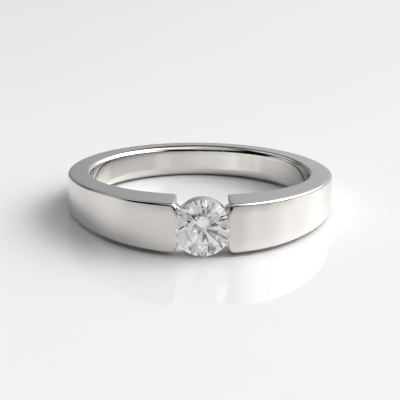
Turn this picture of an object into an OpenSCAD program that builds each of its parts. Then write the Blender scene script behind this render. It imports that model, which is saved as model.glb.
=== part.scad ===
// Ring with one round stone held between two tapered shoulders.
// The ring is drawn around its finger axis first: +Z along the finger,
// -Y towards the stone. It is then tipped onto the floor, where it lies on its side
// and rests on the rim of the stone and on the lower edge at the back.

/* [Band] */
// Inside diameter of the finger hole
finger_d = 17.3; // [16:0.1:19]
// Metal thickness at the back, opposite the stone
back_wall = 1.55; // [1.3:0.05:1.8]
// Metal thickness at the sides, level with the finger axis
side_wall = 1.8; // [1.6:0.05:2]
// Metal thickness at the front, where the two shoulders would meet
front_wall = 3.8; // [3.5:0.05:4.1]
// Radius of the outline across the front of the shoulders
front_r = 8.8; // [8.5:0.1:9.2]
// Radius of the flatter outline along each flank
flank_r = 15.2; // [14:0.1:20]
// Width of the band at the back, along the finger
back_w = 2.5; // [2.3:0.1:3]
// Width of the shoulders at their front, along the finger
shoulder_w = 3.8; // [3.4:0.1:4]
// Distance behind the finger axis where the band starts to widen
taper_start = 4.6; // [3:0.2:7]
// Distance in front of the finger axis from which the sides run straight
taper_straight = 2.8; // [2:0.2:5]

/* [Inside edges] */
// Half length of the straight wall of the finger hole
bore_half = 0.8; // [0.6:0.05:1]
// Radius that rounds the finger hole out towards its edges
flare_r = 1.4; // [1.4:0.1:2.4]

/* [Setting] */
// Gap between the two shoulder ends
gap_w = 3.8; // [3.6:0.05:3.9]
// Rounding of the shoulder corners at the gap
corner_r = 0.4; // [0.2:0.05:0.6]
// Depth of the girdle behind the front of the outline
girdle_set = 0.5; // [0.4:0.05:0.6]
// Depth of the cup, from the girdle to its open back
cup_depth = 1.5; // [1.4:0.05:1.8]
// How much smaller the cup's radius is than the stone's
cup_inset = 0.1; // [0.08:0.01:0.14]
// Radius of the hole behind the stone
cup_hole_r = 1; // [0.8:0.1:1.2]
// How far the webs beside the cup end below the upper face of the shoulders
web_drop = 0.3; // [0.25:0.05:0.4]
// Clearance between the stone and the metal around it
seat_gap = 0.03; // [0.02:0.01:0.05]

/* [Stone] */
// Diameter of the stone across its girdle
stone_d = 4.3; // [4.2:0.05:4.4]
// Width of the table as a share of the stone's diameter
table_share = 0.56; // [0.52:0.01:0.62]
// Slope of the crown's main facets
crown_deg = 34.5; // [32:0.5:36]
// Slope of the pavilion's main facets
pavilion_deg = 40.75; // [40:0.25:42]
// Thickness of the girdle as a share of the stone's diameter
girdle_share = 0.03; // [0.02:0.005:0.04]
// How far the star facets reach from the table to the girdle
star_reach = 0.5; // [0.4:0.05:0.6]
// How far the lower girdle facets reach from the girdle to the culet
lower_reach = 0.9; // [0.75:0.01:0.92]

/* [Hidden] */
$fn = 180;

// Outline of the band, seen along the finger: a back circle, a front circle
// and a flank arc on each side that touches both from outside
finger_r = finger_d / 2;
back_y = finger_r + back_wall;
side_x = finger_r + side_wall;
front_y = finger_r + front_wall;
back_cy = (back_y * back_y - side_x * side_x) / (2 * back_y);
back_r = back_y - back_cy;
front_cy = front_r - front_y;
flank_cy = (((flank_r - front_r) ^ 2 - (flank_r - back_r) ^ 2) / (back_cy - front_cy)
            + back_cy + front_cy) / 2;
flank_cx = sqrt((flank_r - back_r) ^ 2 - (flank_cy - back_cy) ^ 2);
flank_back = back_cy - back_r * (flank_cy - back_cy) / (flank_r - back_r);
flank_front = front_cy - front_r * (flank_cy - front_cy) / (flank_r - front_r);
// The flanks lie this far inside, so that the arcs cross cleanly where they meet
flank_sink = 0.002;

// Half width of the band at a distance y behind the finger axis
back_half = back_w / 2;
taper_len = taper_start + taper_straight;
taper_slope = (shoulder_w - back_w) / 2 / (taper_len / 2 + front_y - taper_straight);
taper_steps = 12;
function half_w(y) =
    y > taper_start ? back_half
    : y > -taper_straight ? back_half + taper_slope * (taper_start - y) ^ 2 / (2 * taper_len)
    : back_half + taper_slope * (taper_len / 2 - taper_straight - y);

// Stone and setting; the stone's facets repeat every main_deg around its axis
main_deg = 45;
half_deg = main_deg / 2;
stone_r = stone_d / 2;
girdle_half = girdle_share * stone_d / 2;
table_r = table_share * stone_r;
crown_h = (stone_r - table_r) * tan(crown_deg);
pavilion_h = stone_r * tan(pavilion_deg);
girdle_y = -front_y + girdle_set;
cup_r = stone_r - cup_inset;
cup_back_y = girdle_y + cup_depth;
// The cup starts behind the girdle, where the stone is already narrower than the cup
cup_front_y = girdle_y + girdle_half + cup_inset;

// The resting tilt lets the stone's rim and the band's rear edge touch the floor
rim_y = girdle_y + girdle_half;
rest_tilt = atan((stone_r - back_half) / (back_y - rim_y));
rest_z = stone_r * cos(rest_tilt) + rim_y * sin(rest_tilt);
table_y = girdle_y - girdle_half - crown_h;
low_y = table_y * cos(rest_tilt) - table_r * cos(half_deg) * sin(rest_tilt);
high_y = back_y * cos(rest_tilt) + back_half * sin(rest_tilt);
rest_y = -(low_y + high_y) / 2;

// Long enough to pass through everything
far = 40;
// Flats that round each shoulder corner
corner_flats = 5;

module resting() {
    translate([0, rest_y, rest_z]) rotate([-rest_tilt, 0, 0]) children();
}

// Turns a shape drawn along +Z so that it faces the front and sits at the girdle
module at_girdle() {
    translate([0, girdle_y, 0]) rotate([90, 0, 0]) children();
}

module plan_outline() {
    translate([0, back_cy]) circle(back_r);
    translate([0, front_cy]) circle(front_r);
    intersection() {
        translate([-flank_cx, flank_cy]) circle(flank_r - flank_sink);
        translate([flank_cx, flank_cy]) circle(flank_r - flank_sink);
        translate([-far / 2, flank_front]) square([far, flank_back - flank_front]);
    }
}

// Side view of the band: straight at the back, then widening to the front
module side_profile() {
    ys = concat(
        [far / 2],
        [for (i = [0 : taper_steps]) taper_start - taper_len * i / taper_steps],
        [-far / 2]
    );
    last = len(ys) - 1;
    polygon(concat(
        [for (y = ys) [y, half_w(y)]],
        [for (i = [0 : last]) [ys[last - i], -half_w(ys[last - i])]]
    ));
}

module finger_hole() {
    cylinder(r = finger_r, h = far, center = true);
    for (side = [0, 1]) mirror([0, 0, side])
        rotate_extrude() difference() {
            translate([0, bore_half]) square([finger_r + flare_r, flare_r]);
            translate([finger_r + flare_r, bore_half]) circle(flare_r);
        }
}

// Rounds one corner of a shoulder end with a row of flats; drawn for the right
// shoulder's upper corner. The end flats run on past the faces that they meet.
module corner_cut() {
    slope_deg = atan(taper_slope);
    step_deg = 90 / corner_flats;
    outer_r = corner_r / cos(step_deg / 2);
    translate([gap_w / 2, -front_y, shoulder_w / 2]) rotate([-slope_deg, 0, 0])
        translate([corner_r, far / 2, -corner_r]) rotate([90, 0, 0]) linear_extrude(far)
            difference() {
                translate([-2 * corner_r, -corner_r]) square(3 * corner_r);
                polygon(concat(
                    [[2 * corner_r, -2 * corner_r], [-outer_r, -2 * corner_r]],
                    [for (i = [0 : corner_flats]) outer_r * [-cos(step_deg * i), sin(step_deg * i)]],
                    [[2 * corner_r, outer_r]]
                ));
            }
}

module shoulder_gap() {
    translate([-gap_w / 2, -far, -far / 2]) cube([gap_w, far, far]);
    for (sx = [0, 1]) for (sz = [0, 1])
        mirror([sx, 0, 0]) mirror([0, 0, sz]) intersection() {
            corner_cut();
            translate([0, -far, 0]) cube([far, far, far]);
        }
}

// Space that the stone takes, with its clearance
module stone_space() {
    r = stone_r + seat_gap;
    top = girdle_half + crown_h + 2 * seat_gap;
    bottom = girdle_half + pavilion_h + 2 * seat_gap;
    rotate_extrude() polygon([
        [0, -bottom],
        [r, -girdle_half - seat_gap],
        [r, girdle_half + seat_gap],
        [table_r + 2 * seat_gap, top],
        [0, top]
    ]);
}

module shank() {
    difference() {
        intersection() {
            translate([0, 0, -far / 2]) linear_extrude(far) plan_outline();
            translate([-far / 2, 0, 0]) rotate([90, 0, 90]) linear_extrude(far) side_profile();
        }
        finger_hole();
        shoulder_gap();
    }
}

// Round wall behind the stone that bridges the two shoulders
module cup() {
    translate([0, cup_back_y, 0]) rotate([90, 0, 0])
        cylinder(r = cup_r, h = cup_back_y - cup_front_y);
}

// Small webs in the corners between the cup and the shoulder ends, above and below;
// they start inside the cup's wall and run into the shoulders
module webs() {
    start_r = cup_r - 0.07;
    end_x = gap_w / 2 + 0.2;
    top_z = shoulder_w / 2 - web_drop;
    front_y = cup_front_y + 0.14;
    back_y = cup_back_y - 0.15;
    translate([0, back_y, 0]) rotate([90, 0, 0]) linear_extrude(back_y - front_y)
        for (sx = [0, 1]) for (sz = [0, 1])
            mirror([sx, 0]) mirror([0, sz]) polygon(concat(
                [[end_x, 0.5], [end_x, top_z], [gap_w / 2, top_z]],
                [for (turn_deg = [38, 28, 18]) start_r * [cos(turn_deg), sin(turn_deg)]]
            ));
}

module band() {
    color([0.78, 0.77, 0.75]) resting() difference() {
        union() {
            shank();
            cup();
            webs();
        }
        at_girdle() {
            stone_space();
            translate([0, 0, -far / 4]) cylinder(r = cup_hole_r, h = far / 4);
        }
    }
}

// Points on the stone, as rings around its axis with +Z out of the table
function ring_point(r, deg, z) = [r * cos(deg), r * sin(deg), z];

module stone() {
    table_edge_r = table_r * cos(half_deg);
    star_r = table_edge_r + star_reach * (stone_r - table_edge_r);
    low_r = (1 - lower_reach) * stone_r;
    table_z = girdle_half + crown_h;
    star_z = table_z - (star_r * cos(half_deg) - table_r) * tan(crown_deg);
    low_z = -girdle_half - (stone_r - low_r * cos(half_deg)) * tan(pavilion_deg);
    culet_z = -girdle_half - pavilion_h;
    // Rings of points: table, star tips, upper girdle, lower girdle, lower tips, culet
    points = concat(
        [for (k = [0 : 7]) ring_point(table_r, half_deg + main_deg * k, table_z)],
        [for (k = [0 : 7]) ring_point(star_r, main_deg * k, star_z)],
        [for (k = [0 : 15]) ring_point(stone_r, half_deg * k, girdle_half)],
        [for (k = [0 : 15]) ring_point(stone_r, half_deg * k, -girdle_half)],
        [for (k = [0 : 7]) ring_point(low_r, main_deg * k, low_z)],
        [[0, 0, culet_z]]
    );
    table0 = 0;
    star0 = 8;
    up0 = 16;
    down0 = 32;
    low0 = 48;
    culet = 56;
    faces = concat(
        [[for (k = [7 : -1 : 0]) table0 + k]],
        [for (k = [0 : 7]) [table0 + (k + 7) % 8, table0 + k, star0 + k]],
        [for (k = [0 : 7]) [table0 + k, star0 + (k + 1) % 8, up0 + 2 * k + 1, star0 + k]],
        [for (k = [0 : 7]) [star0 + k, up0 + 2 * k + 1, up0 + 2 * k]],
        [for (k = [0 : 7]) [star0 + k, up0 + 2 * k, up0 + (2 * k + 15) % 16]],
        [for (k = [0 : 15]) [up0 + k, up0 + (k + 1) % 16, down0 + (k + 1) % 16, down0 + k]],
        [for (k = [0 : 7]) [low0 + k, down0 + 2 * k, down0 + 2 * k + 1]],
        [for (k = [0 : 7]) [low0 + k, down0 + (2 * k + 15) % 16, down0 + 2 * k]],
        [for (k = [0 : 7]) [culet, low0 + k, down0 + 2 * k + 1, low0 + (k + 1) % 8]]
    );
    color([0.9, 0.93, 0.96]) resting() at_girdle() polyhedron(points, faces, convexity = 2);
}

band();
stone();
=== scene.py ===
# A finger ring with one round stone, lying on its side on a pale glossy floor
import math

import bmesh
import bpy
from mathutils import Matrix, Vector
from mathutils.geometry import normal as planeNormal


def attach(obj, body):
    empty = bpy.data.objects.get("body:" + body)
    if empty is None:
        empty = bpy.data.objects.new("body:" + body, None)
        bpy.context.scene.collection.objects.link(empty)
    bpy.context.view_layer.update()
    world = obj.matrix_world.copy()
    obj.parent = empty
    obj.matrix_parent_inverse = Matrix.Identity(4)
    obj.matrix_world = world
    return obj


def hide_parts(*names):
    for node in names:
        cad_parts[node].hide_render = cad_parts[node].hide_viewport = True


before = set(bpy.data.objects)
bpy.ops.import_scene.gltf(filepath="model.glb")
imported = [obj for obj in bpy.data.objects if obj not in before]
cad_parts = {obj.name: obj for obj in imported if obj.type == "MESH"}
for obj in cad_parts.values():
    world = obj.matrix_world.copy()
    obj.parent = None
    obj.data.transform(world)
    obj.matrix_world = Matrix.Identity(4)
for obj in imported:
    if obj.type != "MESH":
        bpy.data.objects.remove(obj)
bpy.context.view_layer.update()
print("frame loaded:", sorted(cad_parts))

# The pieces are drawn in millimetres around the finger axis, with the stone towards -Y
mm = 0.001
samePlace = 1e-6  # measures this close are the same
cutReach = 1e-5  # points this close to a cut lie on it
weldReach = 1e-4  # points this close become one
fullTurn = 2 * math.pi

# Sizes that several pieces share
ring = {
    "fingerR": 8.65,
    "backY": 10.2,  # the outline at the back, at the side and in front
    "sideX": 10.45,
    "frontY": 12.45,
    "frontR": 8.8,  # the outline's arcs in front and along the flanks
    "flankR": 15.2,
    "backHalf": 1.25,  # half the band's width at the back and at the shoulders
    "shoulderHalf": 1.9,
    "taperStart": 4.6,  # the width grows from this far behind the axis
    "taperStraight": 2.8,  # and evenly from this far in front of it
    "gapHalf": 1.9,
    "girdleY": -11.95,
    "restY": 1.22855,  # the ring's own middle as it rests
    "restZ": 1.6643,
}
gem = {
    "radius": 2.15,
    "tableShare": 0.56,
    "crownSlope": math.radians(34.5),
    "pavilionSlope": math.radians(40.75),
    "girdleHalf": 0.0645,
    "starReach": 0.5,
    "lowerReach": 0.9,
    "rimSteps": 96,
}

# The ring lies on the rim of the stone and on the rear edge of the band
restLean = math.atan(
    (gem["radius"] - ring["backHalf"]) / (ring["backY"] - ring["girdleY"] - gem["girdleHalf"])
)
toFloor = Matrix.Translation((0, ring["restY"], ring["restZ"])) @ Matrix.Rotation(-restLean, 4, "X")
toMetres = Matrix.Scale(mm, 4) @ toFloor
# Stone space: +Z out of the table, set at the girdle, facing the front
toGirdle = Matrix.Translation((0, ring["girdleY"], 0)) @ Matrix.Rotation(math.pi / 2, 4, "X")


# Camera

view = {
    "tilt": 15.10,  # degrees down, measured against the ring's own plane
    "turn": 1.126,
    "roll": 0.664,
    "away": 145.0,  # mm
    "pixelsPerMm": 12.572,
    "centrePixel": (199.91, 186.90),  # where the ring's own middle shows
    "framePixels": 400,
    "sensor": 36,  # mm
    "clip": (0.01, 10),  # m
}


def placeCamera():
    tilt, turn, roll = (math.radians(view[k]) for k in ("tilt", "turn", "roll"))
    ahead = Vector((math.sin(turn) * math.cos(tilt), math.cos(turn) * math.cos(tilt), -math.sin(tilt)))
    right = Vector((math.cos(turn), -math.sin(turn), 0))
    up = right.cross(ahead)
    right, up = (
        right * math.cos(roll) + up * math.sin(roll),
        up * math.cos(roll) - right * math.sin(roll),
    )
    focal = view["pixelsPerMm"] * view["away"]
    half = view["framePixels"] / 2
    sideways = (view["centrePixel"][0] - half) / view["pixelsPerMm"]
    upwards = (half - view["centrePixel"][1]) / view["pixelsPerMm"]
    spot = -view["away"] * ahead - sideways * right - upwards * up
    turned = Matrix((right, up, -ahead)).transposed().to_4x4()
    data = bpy.data.cameras.new("photoCamera")
    data.sensor_width = view["sensor"]
    data.lens = focal / view["framePixels"] * data.sensor_width
    data.clip_start, data.clip_end = view["clip"]
    camera = bpy.data.objects.new("photoCamera", data)
    bpy.context.scene.collection.objects.link(camera)
    seat = toFloor @ Matrix.Translation(spot) @ turned
    seat.translation *= mm
    camera.matrix_world = seat
    bpy.context.scene.camera = camera
    print("camera at", [round(v, 4) for v in camera.location])


placeCamera()


# Shader helpers


class Reading:
    # Wraps an output socket, so that sums on it add Math nodes
    def __init__(self, bench, socket):
        self.bench, self.socket = bench, socket

    def math(self, operation, first, second):
        return self.bench.read("ShaderNodeMath", {"operation": operation}, {0: first, 1: second})

    def __add__(self, other):
        return self.math("ADD", self, other)

    def __radd__(self, other):
        return self.math("ADD", other, self)

    def __mul__(self, other):
        return self.math("MULTIPLY", self, other)

    def __rmul__(self, other):
        return self.math("MULTIPLY", other, self)

    def asVector(self):
        return self.bench.read("ShaderNodeCombineXYZ", None, {0: self, 1: self, 2: self})

    def step(self, low, high):
        # 0 at low, 1 at high, smooth between and even beyond; low may be the larger one
        return self.bench.read(
            "ShaderNodeMapRange",
            {"interpolation_type": "SMOOTHSTEP", "clamp": True},
            {"Value": self, "From Min": low, "From Max": high, "To Min": 0.0, "To Max": 1.0},
            "Result",
        )


class Bench:
    # One node tree, and the one way nodes get into it
    def __init__(self, tree):
        self.tree = tree
        tree.nodes.clear()

    def put(self, kind, settings=None, inputs=None):
        node = self.tree.nodes.new(kind)
        for name, value in (settings or {}).items():
            setattr(node, name, value)
        for key, value in (inputs or {}).items():
            if isinstance(value, Reading):
                self.tree.links.new(value.socket, node.inputs[key])
            else:
                node.inputs[key].default_value = value
        return node

    def read(self, kind, settings=None, inputs=None, output=0):
        return Reading(self, self.put(kind, settings, inputs).outputs[output])

    def mixColour(self, share, low, high):
        # A Mix node's colours are its inputs 6 and 7 and its output 2
        return self.read("ShaderNodeMix", {"data_type": "RGBA"}, {0: share, 6: low, 7: high}, 2)

    def noise(self, place, scale, detail):
        inputs = {"Vector": place, "Scale": scale, "Detail": detail}
        return self.read("ShaderNodeTexNoise", None, inputs, "Fac")

    def finish(self, shader, kind="ShaderNodeOutputMaterial"):
        self.put(kind, None, {"Surface": shader})


def newMaterial(name):
    material = bpy.data.materials.new(name)
    material.use_nodes = True
    bench = Bench(material.node_tree)
    return material, bench, bench.read("ShaderNodeTexCoord", output="Object")


# Materials, with each noise given by its scale per metre and its detail


def makeMetal():
    look = {
        "bright": (0.77, 0.748, 0.718, 1),
        "warm": (0.755, 0.728, 0.692, 1),
        "clouds": (180.0, 3.0),
        "hairs": (2600.0, 2.0),
        "hairStretch": (1.0, 1.0, 14.0),  # so that hairlines run around the ring
        "warmRange": (0.35, 0.7),  # the part of the clouds that turns warm
        "rough": (0.02, 0.045),
        "cloudRange": (0.3, 0.75),  # the parts of clouds and hairlines that turn rough
        "hairRange": (0.5, 0.8),
        "cloudShare": 0.6,
        "hairShare": 0.4,
        "scratchStrength": 0.02,
        "scratchDepth": 0.00002,  # m
    }
    material, bench, place = newMaterial("polishedWhiteGold")
    clouds = bench.noise(place, *look["clouds"])
    longWay = bench.read("ShaderNodeMapping", None, {"Vector": place, "Scale": look["hairStretch"]})
    hairs = bench.noise(longWay, *look["hairs"])
    colour = bench.mixColour(clouds.step(*look["warmRange"]), look["bright"], look["warm"])
    low, high = look["rough"]
    cloudPart = clouds.step(*look["cloudRange"]) * look["cloudShare"]
    hairPart = hairs.step(*look["hairRange"]) * look["hairShare"]
    bump = bench.read(
        "ShaderNodeBump",
        None,
        {"Strength": look["scratchStrength"], "Distance": look["scratchDepth"], "Height": hairs},
        "Normal",
    )
    shader = bench.read(
        "ShaderNodeBsdfPrincipled",
        None,
        {
            "Base Color": colour,
            "Metallic": 1.0,
            "Roughness": low + (high - low) * (cloudPart + hairPart),
            "Normal": bump,
        },
    )
    bench.finish(shader)
    return material


def makeGemGlass():
    look = {
        "clear": (1.0, 1.0, 1.0, 1),
        "cool": (0.965, 0.975, 0.985, 1),
        "clouds": (600.0, 2.0),
        "coolRange": (0.4, 0.65),  # the part of the clouds that turns cool
        "rough": 0.004,
        "bend": 2.42,
    }
    material, bench, place = newMaterial("clearCutStone")
    clouds = bench.noise(place, *look["clouds"])
    colour = bench.mixColour(clouds.step(*look["coolRange"]), look["clear"], look["cool"])
    shader = bench.read(
        "ShaderNodeBsdfPrincipled",
        None,
        {
            "Base Color": colour,
            "Roughness": clouds * look["rough"],
            "IOR": look["bend"],
            "Transmission Weight": 1.0,
        },
    )
    bench.finish(shader)
    return material


def makeFloorLacquer():
    look = {
        "pale": (0.905, 0.905, 0.917, 1),
        "paler": (0.92, 0.92, 0.932, 1),
        "clouds": (35.0, 3.0),
        "rough": (0.05, 0.08),
        "bend": 1.22,
    }
    material, bench, place = newMaterial("paleLacquer")
    clouds = bench.noise(place, *look["clouds"])
    low, high = look["rough"]
    shader = bench.read(
        "ShaderNodeBsdfPrincipled",
        None,
        {
            "Base Color": bench.mixColour(clouds, look["pale"], look["paler"]),
            "Roughness": low + (high - low) * clouds,
            "IOR": look["bend"],
        },
    )
    bench.finish(shader)
    return material


metal = makeMetal()
gemGlass = makeGemGlass()
floorLacquer = makeFloorLacquer()
print("materials made")


# Helpers for the pieces

sharpTurn = math.radians(35)  # edges that turn more than this stay sharp
faceLead = 100  # how much the large faces lead the shading


def newObject(name, bm):
    # Puts a shape into an object of its own and frees it
    mesh = bpy.data.meshes.new(name)
    bm.to_mesh(mesh)
    bm.free()
    item = bpy.data.objects.new(name, mesh)
    bpy.context.scene.collection.objects.link(item)
    return item


def keepPiece(bm, name, material, node, smooth, seat):
    bm.transform(toMetres @ seat)
    for edge in bm.edges:
        edge.smooth = edge.calc_face_angle(0) < sharpTurn
    piece = newObject(name, bm)
    polygons = piece.data.polygons
    polygons.foreach_set("use_smooth", [smooth] * len(polygons))
    piece.data.materials.append(material)
    if smooth:
        weighted = piece.modifiers.new("flatFacesLead", "WEIGHTED_NORMAL")
        weighted.mode, weighted.weight = "FACE_AREA", faceLead
        weighted.keep_sharp = True
    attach(piece, "root")
    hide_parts(node)
    print(name, "made,", len(polygons), "faces")


def soften(bm, parts, width, segments, affect="VERTICES"):
    bmesh.ops.bevel(
        bm,
        geom=parts,
        offset=width,
        offset_type="OFFSET",
        segments=segments,
        profile=0.5,
        affect=affect,
        material=-1,
        clamp_overlap=False,
    )


def spin(bm, steps, angle=fullTurn):
    bmesh.ops.spin(
        bm,
        geom=bm.verts[:] + bm.edges[:],
        cent=(0, 0, 0),
        axis=(0, 0, 1),
        dvec=(0, 0, 0),
        angle=angle,
        steps=steps,
        use_merge=angle == fullTurn,
        use_normal_flip=False,
        use_duplicate=False,
    )


def weld(bm):
    bmesh.ops.remove_doubles(bm, verts=bm.verts[:], dist=weldReach)
    bmesh.ops.recalc_face_normals(bm, faces=bm.faces[:])


def combine(bm, other, operation):
    # Joins two closed shapes or takes the second out of the first, frees both and returns the result
    items = [newObject("passing", part) for part in (bm, other)]
    both = items[0].modifiers.new("both", "BOOLEAN")
    both.operation, both.solver, both.object = operation, "EXACT", items[1]
    result = bmesh.new()
    result.from_object(items[0], bpy.context.evaluated_depsgraph_get())
    for item in items:
        mesh = item.data
        bpy.data.objects.remove(item)
        bpy.data.meshes.remove(mesh)
    return result


# Band


def halfWidth(y):
    start, straight = ring["taperStart"], ring["taperStraight"]
    length = start + straight
    slope = (ring["shoulderHalf"] - ring["backHalf"]) / (length / 2 + ring["frontY"] - straight)
    if y > start:
        return ring["backHalf"]
    if y > -straight:
        return ring["backHalf"] + slope * (start - y) ** 2 / (2 * length)
    return ring["backHalf"] + slope * (length / 2 - straight - y)


def outlineArcs():
    # Each arc's middle and radius, and the places where the flank's arc ends
    backCy = (ring["backY"] ** 2 - ring["sideX"] ** 2) / (2 * ring["backY"])
    backR = ring["backY"] - backCy
    frontR, flankR = ring["frontR"], ring["flankR"]
    frontCy = frontR - ring["frontY"]
    flankCy = (
        ((flankR - frontR) ** 2 - (flankR - backR) ** 2) / (backCy - frontCy) + backCy + frontCy
    ) / 2
    flankCx = math.sqrt((flankR - backR) ** 2 - (flankCy - backCy) ** 2)
    return {
        "back": (0, backCy, backR),
        "front": (0, frontCy, frontR),
        "flank": (-flankCx, flankCy, flankR),
        "flankBack": backCy - backR * (flankCy - backCy) / (flankR - backR),
        "flankFront": frontCy - frontR * (flankCy - frontCy) / (flankR - frontR),
    }


arcs = outlineArcs()


def arcAt(angle):
    # How far a ray from the finger axis goes before it leaves the band
    # The angle is 0 in front and grows to the right
    rayX, rayY = math.sin(angle), -math.cos(angle)

    def meet(arc):
        x, y, r = arcs[arc]
        along = rayX * x + rayY * y
        return along + math.sqrt(along**2 - x * x - y * y + r * r)

    front, back = meet("front"), meet("back")
    if front * rayY < arcs["flankFront"]:
        return front
    return back if back * rayY > arcs["flankBack"] else meet("flank")


def outlineAt(angle):
    # Averaged over a few degrees, so that reflections run smoothly from arc to arc
    shifts = (-0.12, -0.06, 0, 0.06, 0.12)
    reach = sum(arcAt(angle + shift) for shift in shifts) / len(shifts)
    return Vector((math.sin(angle), -math.cos(angle))) * reach


def seatCutter(gap):
    # The stone's outer part, larger by the gap, as a closed ring
    insideR = 1.6
    profile = []
    for side, slope in ((1, gem["crownSlope"]), (-1, gem["pavilionSlope"])):
        for r in (insideR, gem["radius"] + gap):
            away = gem["girdleHalf"] + (gem["radius"] - r) * math.tan(slope) + gap / math.cos(slope)
            profile.append((r, 0, side * away))
    bm = bmesh.new()
    corners = [bm.verts.new(profile[i]) for i in (0, 1, 3, 2)]
    for i in range(4):
        bm.edges.new((corners[i], corners[(i + 1) % 4]))
    spin(bm, gem["rimSteps"])
    weld(bm)
    bm.transform(toGirdle)
    return bm


def makeBand():
    shape = {
        "startDepth": 2.4,  # the section is spun at this size, then fitted
        "startHalf": 1.5,
        "innerFillet": (0.27, 0.46),  # at the shoulders and at the back
        "innerSegments": 12,
        "outerFillet": 0.2,
        "outerSegments": 6,
        "wallCuts": 4,
        "endRound": (0.15, 0.58),  # upper and lower corners at the gap, at the finger and in front
        "endEdge": 0.13,  # upright edges at the gap
        "endInset": 0.05,
        "endRings": 8,  # sections that shape each end
        "halfRings": 136,
        "openRings": 6,  # sections left out of the spin, at the gap
        "seatGap": 0.06,  # air around the stone's rim where it sits in the shoulders
        "backFade": 4,  # a higher one keeps the back's fillet nearer to the back
        "cornerFade": 3,  # keeps the ends' rounding nearer to the upper and lower faces
        "frontFade": 4,  # and nearer to the front
    }
    depth, tall = shape["startDepth"], shape["startHalf"]
    innerFront, inner = shape["innerFillet"]
    outer, endEdge = shape["outerFillet"], shape["endEdge"]
    fingerR = ring["fingerR"]
    bm = bmesh.new()
    corners = [
        bm.verts.new((0, -fingerR - u, z))
        for u, z in ((0, -tall), (depth, -tall), (depth, tall), (0, tall))
    ]
    bm.faces.new(corners)
    soften(bm, [corners[0], corners[3]], inner, shape["innerSegments"])
    outerCorners = [v for v in bm.verts if v.co.y < -fingerR - depth + samePlace]
    soften(bm, outerCorners, outer, shape["outerSegments"])
    straight = [e for e in bm.edges if e.calc_length() > inner]
    bmesh.ops.subdivide_edges(bm, edges=straight, cuts=shape["wallCuts"])
    bmesh.ops.delete(bm, geom=bm.faces[:], context="FACES_ONLY")

    endRings, halfRings = shape["endRings"], shape["halfRings"]
    rings = 2 * halfRings
    step = fullTurn / (rings + shape["openRings"])
    spin(bm, rings, step * rings)

    def fit(v):
        # The point's section, counted from the nearer end, its depth in the wall and its height
        count = round((math.atan2(v.co.x, -v.co.y) % fullTurn) / step)
        side = 1 if count <= halfRings else -1
        count = min(count, rings - count)
        u = math.hypot(v.co.x, v.co.y) - fingerR
        z = v.co.z
        # The fillet that the point is nearest to
        fillet = inner if u < depth / 2 else outer
        backness = ((1 - math.cos(fullTurn * count / rings)) / 2) ** shape["backFade"]
        innerNow = innerFront * (1 - backness) + inner * backness
        grow = innerNow / inner if u < depth / 2 else 1.0
        # How far the point is turned towards the top or bottom within its fillet
        fromWall = min(u, depth - u)
        fromTop = tall - abs(z)
        upness = 1.0 if fromWall >= fillet - samePlace else 0.0
        if fromWall < fillet and fromTop < fillet:
            upness = 1 - (1 - fromWall / fillet) ** 2
        # The rounding of the end
        corner = (abs(z) / tall) ** shape["cornerFade"]
        frontness = min(max(u / depth, 0), 1) ** shape["frontFade"]
        nearRound, farRound = shape["endRound"]
        endRound = nearRound + (farRound - nearRound) * frontness
        reach = endEdge + (endRound - endEdge) * max(upness, corner)
        turn = math.pi / 2 * (1 - count / endRings) if count < endRings else 0.0
        x = ring["gapHalf"] + reach * (1 - math.sin(turn))
        insetTop = endRound * (1 - math.cos(turn))
        insetWall = endEdge * (1 - math.cos(turn))
        # Where the section meets the finger hole and the outline
        innerAngle = math.asin(x / fingerR)
        frontCy, frontR = arcs["front"][1:]
        outerAngle = math.atan2(x, -(frontCy - math.sqrt(frontR**2 - x * x)))
        if count > endRings:
            share = (count - endRings) / (halfRings - endRings)
            innerAngle += (math.pi - innerAngle) * share
            outerAngle += (math.pi - outerAngle) * share
        near = Vector((math.sin(innerAngle), -math.cos(innerAngle))) * fingerR
        far = outlineAt(outerAngle)
        length = (far - near).length
        if u < inner:
            along = u * grow + insetWall
        elif u > depth - outer:
            along = length - (depth - u) - insetWall
        else:
            share = (u - inner) / (depth - outer - inner)
            low, high = innerNow + insetWall, length - outer - insetWall
            along = low + (high - low) * share
        spot = near.lerp(far, along / length)
        half = halfWidth(spot.y) - insetTop
        if fromTop <= fillet:
            high = half - fromTop * grow
        else:
            high = (half - fillet * grow) * abs(z) / (tall - fillet)
        v.co = (side * spot.x, spot.y, math.copysign(high, z))

    for v in bm.verts:
        fit(v)
    rims = [e for e in bm.edges if e.is_boundary]
    ends = bmesh.ops.holes_fill(bm, edges=rims, sides=0)["faces"]
    bmesh.ops.inset_region(bm, faces=ends, thickness=shape["endInset"], depth=0, use_even_offset=True)
    bmesh.ops.recalc_face_normals(bm, faces=bm.faces[:])
    bm = combine(bm, seatCutter(shape["seatGap"]), "DIFFERENCE")
    keepPiece(bm, "band_polished", metal, "band", True, Matrix())


makeBand()


# Cup behind the stone, drawn in stone space


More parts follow.
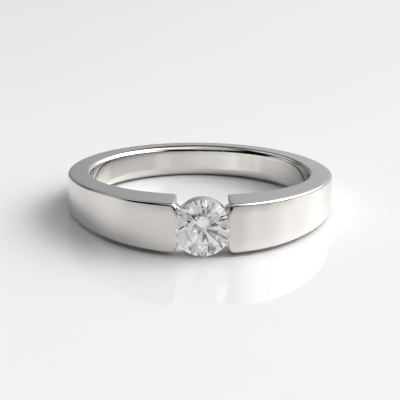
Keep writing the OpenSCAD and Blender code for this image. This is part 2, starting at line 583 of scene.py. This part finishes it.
def makeWebs():
    # Small corner pieces between the cup and the shoulder ends, above and below
    shape = {
        "endX": 1.93,  # a little inside the shoulder end
        "footY": 0.45,
        "topY": 1.6,
        "insideR": 1.98,  # a little inside the cup's wall
        "turns": (0.66, 0.49, 0.32),  # along that wall, from the top down
        "fromZ": -1.35,
        "toZ": -0.3,
        "round": 0.04,
        "roundSegments": 3,
    }
    insideR = shape["insideR"]
    along = [(shape["endX"], shape["footY"]), (shape["endX"], shape["topY"])]
    along += [(insideR * math.cos(turn), insideR * math.sin(turn)) for turn in shape["turns"]]
    bm = bmesh.new()
    for sideX in (-1, 1):
        for sideY in (-1, 1):
            corners = [bm.verts.new((sideX * x, sideY * y, shape["fromZ"])) for x, y in along]
            face = bm.faces.new(corners)
            grown = bmesh.ops.extrude_face_region(bm, geom=[face])["geom"]
            moved = [part for part in grown if isinstance(part, bmesh.types.BMVert)]
            bmesh.ops.translate(bm, verts=moved, vec=(0, 0, shape["toZ"] - shape["fromZ"]))
    soften(bm, bm.edges[:], shape["round"], shape["roundSegments"], "EDGES")
    bmesh.ops.recalc_face_normals(bm, faces=bm.faces[:])
    return bm


def makeCup():
    shape = {
        "outerR": 2.05,
        "holeR": 1.0,
        "backZ": -1.5,
        "rimZ": -0.23,
        "clearance": 0.04,  # along the girdle's plane, between the stone and the cup
        "steps": 128,
        "edgeRound": 0.06,
        "edgeSegments": 4,
        "rimRound": 0.015,
        "rimSegments": 3,
    }
    slope = math.tan(gem["pavilionSlope"])

    def coneR(z):
        return gem["radius"] - (-z - gem["girdleHalf"]) / slope + shape["clearance"]

    holeZ = -(gem["girdleHalf"] + (gem["radius"] + shape["clearance"] - shape["holeR"]) * slope)
    bm = bmesh.new()
    corners = [
        bm.verts.new((r, 0, z))
        for r, z in (
            (shape["holeR"], holeZ),
            (shape["holeR"], shape["backZ"]),
            (shape["outerR"], shape["backZ"]),
            (shape["outerR"], shape["rimZ"]),
            (coneR(shape["rimZ"]), shape["rimZ"]),
        )
    ]
    bm.faces.new(corners)
    soften(bm, corners[:3], shape["edgeRound"], shape["edgeSegments"])
    rimCorners = [v for v in bm.verts if v.co.z > shape["rimZ"] - samePlace]
    soften(bm, rimCorners, shape["rimRound"], shape["rimSegments"])
    bmesh.ops.delete(bm, geom=bm.faces[:], context="FACES_ONLY")
    spin(bm, shape["steps"])
    weld(bm)
    bm = combine(bm, makeWebs(), "UNION")
    keepPiece(bm, "stone_cup", metal, "band", True, toGirdle)


makeCup()


# Stone, drawn in stone space


def makeStone():
    mainFacets = 8
    halfTurn = math.pi / mainFacets  # half the turn from one main facet to the next
    radius, half = gem["radius"], gem["girdleHalf"]
    tableR = gem["tableShare"] * radius
    crown, pavilion = math.tan(gem["crownSlope"]), math.tan(gem["pavilionSlope"])
    tableZ = half + (radius - tableR) * crown
    culetZ = -half - radius * pavilion
    tableEdge = tableR * math.cos(halfTurn)
    starR = tableEdge + gem["starReach"] * (radius - tableEdge)
    starZ = tableZ - (starR * math.cos(halfTurn) - tableR) * crown
    lowR = (1 - gem["lowerReach"]) * radius
    lowZ = -half - (radius - lowR * math.cos(halfTurn)) * pavilion

    def at(r, count, z):
        return Vector((r * math.cos(halfTurn * count), r * math.sin(halfTurn * count), z))

    # Three points on each facet: star, kite and pavilion main, then the ones along the girdle
    cuts = []
    for k in range(mainFacets):
        even, odd = 2 * k, 2 * k + 1
        cuts.append((at(tableR, odd, tableZ), at(starR, even, starZ), at(starR, even + 2, starZ)))
        cuts.append((at(tableR, even - 1, tableZ), at(tableR, odd, tableZ), at(starR, even, starZ)))
        cuts.append((at(lowR, even, lowZ), at(lowR, even + 2, lowZ), Vector((0, 0, culetZ))))
        for side in (-1, 1):
            cuts.append((at(starR, even, starZ), at(radius, even, half), at(radius, even + side, half)))
            cuts.append((at(lowR, even, lowZ), at(radius, even, -half), at(radius, even + side, -half)))
    bm = bmesh.new()
    bmesh.ops.create_cone(
        bm,
        cap_ends=True,
        cap_tris=False,
        segments=gem["rimSteps"],
        radius1=radius,
        radius2=radius,
        depth=tableZ - culetZ,
    )
    bmesh.ops.translate(bm, verts=bm.verts[:], vec=(0, 0, (tableZ + culetZ) / 2))
    for points in cuts:
        outward = planeNormal(points)
        if outward.dot(points[0]) < 0:
            outward.negate()
        bmesh.ops.bisect_plane(
            bm,
            geom=bm.verts[:] + bm.edges[:] + bm.faces[:],
            dist=cutReach,
            plane_co=points[0],
            plane_no=outward,
            clear_outer=True,
            clear_inner=False,
        )
        rim = [e for e in bm.edges if e.is_boundary]
        if rim:
            bmesh.ops.holes_fill(bm, edges=rim, sides=0)
    weld(bm)
    keepPiece(bm, "cut_stone", gemGlass, "stone", False, toGirdle)


makeStone()


# Floor, light and surroundings


def makeFloor():
    size = {"half": 2.0, "cells": 8}  # m
    bm = bmesh.new()
    bmesh.ops.create_grid(bm, x_segments=size["cells"], y_segments=size["cells"], size=size["half"])
    floor = newObject("floor", bm)
    floor.data.materials.append(floorLacquer)
    print("floor made")


makeFloor()


def addGlows(bench, place, light, glows):
    # Each glow is soft and far away: azimuth (0 behind the ring, 90 to its right), height,
    # angle of its even core, angle where it ends, strength and tint
    for azimuth, height, core, reach, strength, tint in glows.values():
        turn, lift = math.radians(azimuth), math.radians(height)
        towards = (math.sin(turn) * math.cos(lift), math.cos(turn) * math.cos(lift), math.sin(lift))
        glow = tuple(strength * part for part in tint)
        facing = bench.read(
            "ShaderNodeVectorMath", {"operation": "DOT_PRODUCT"}, {0: place, 1: towards}, "Value"
        )
        share = facing.step(math.cos(math.radians(reach)), math.cos(math.radians(core)))
        light = bench.read(
            "ShaderNodeVectorMath", {"operation": "MULTIPLY_ADD"}, {0: share.asVector(), 1: glow, 2: light}
        )
    return light


def makeSurroundings():
    warm, cool, plain = (1.0, 0.99, 0.98), (0.95, 0.975, 1.0), (1.0, 1.0, 1.0)
    glows = {
        "key": (68, 36, 7, 36, 3.4, warm),
        "keyCore": (60, 35, 1, 17, 3.0, warm),
        "keyHigh": (89, 62, 1, 19, 1.3, warm),
        "keyBehind": (45, 30, 5, 25, 1.7, warm),
        "right": (100, 30, 5, 25, 1.8, warm),
        "rightFront": (125, 25, 1, 18, 1.35, warm),
        "rightFrontHigh": (126, 60, 8, 32, 0.63, warm),
        "frontHigh": (190, 62, 14, 36, 0.58, cool),
        "behindLeft": (309, 46, 1, 27, 0.75, cool),
        "overhead": (0, 84, 4, 26, 0.45, cool),
        "leftLow": (281, 2, 1, 27, 0.8, cool),
    }
    # The low band behind the ring, which the upper face mirrors, brighter to the right and upwards
    sky = {
        "bandEven": 0.245,
        "bandRight": 0.46,
        "bandRise": 0.2,
        "tint": (0.975, 0.99, 1.03),
        "rightRange": (-0.3, 0.35),  # ranges of the light's direction
        "riseRange": (0.1, 0.35),
        "endRange": (0.6, 0.3),
        "behindRange": (0.3, 0.9),
    }
    # What is met by light that has passed through the stone: even, dark around the viewer
    stoneEven = (0.62, 0.62, 0.625)
    stoneGlows = {
        "darkFront": (162, 9, 10, 28, -0.61, plain),
        "glintLeft": (250, 40, 5, 28, 0.6, plain),
        "glintRight": (120, 36, 5, 24, 0.5, plain),
    }
    stoneBounces = 24
    world = bpy.data.worlds.new("studio")
    bpy.context.scene.world = world
    world.use_nodes = True
    bench = Bench(world.node_tree)
    place = bench.read("ShaderNodeTexCoord", output="Generated")
    parts = bench.put("ShaderNodeSeparateXYZ", None, {0: place})
    x, y, z = (Reading(bench, parts.outputs[i]) for i in range(3))
    rightward = x.step(*sky["rightRange"])
    band = sky["bandEven"] + rightward * (sky["bandRight"] + sky["bandRise"] * z.step(*sky["riseRange"]))
    level = band * z.step(*sky["endRange"]) * y.step(*sky["behindRange"])
    tinted = {i: level * part for i, part in enumerate(sky["tint"])}
    light = addGlows(bench, place, bench.read("ShaderNodeCombineColor", None, tinted), glows)
    forStone = addGlows(bench, place, stoneEven, stoneGlows)
    around = bench.read("ShaderNodeBackground", None, {"Color": light, "Strength": 1.0})
    throughStone = bench.read("ShaderNodeBackground", None, {"Color": forStone, "Strength": 1.0})
    passed = bench.read("ShaderNodeLightPath", output="Is Transmission Ray")
    either = bench.read("ShaderNodeMixShader", None, {0: passed, 1: around, 2: throughStone})
    bench.finish(either, "ShaderNodeOutputWorld")
    cycles = bpy.context.scene.cycles
    cycles.max_bounces = cycles.glossy_bounces = cycles.transmission_bounces = stoneBounces
    print("surroundings made")


makeSurroundings()
bpy.context.scene.view_settings.view_transform = "Standard"
bpy.context.scene.view_settings.look = "None"
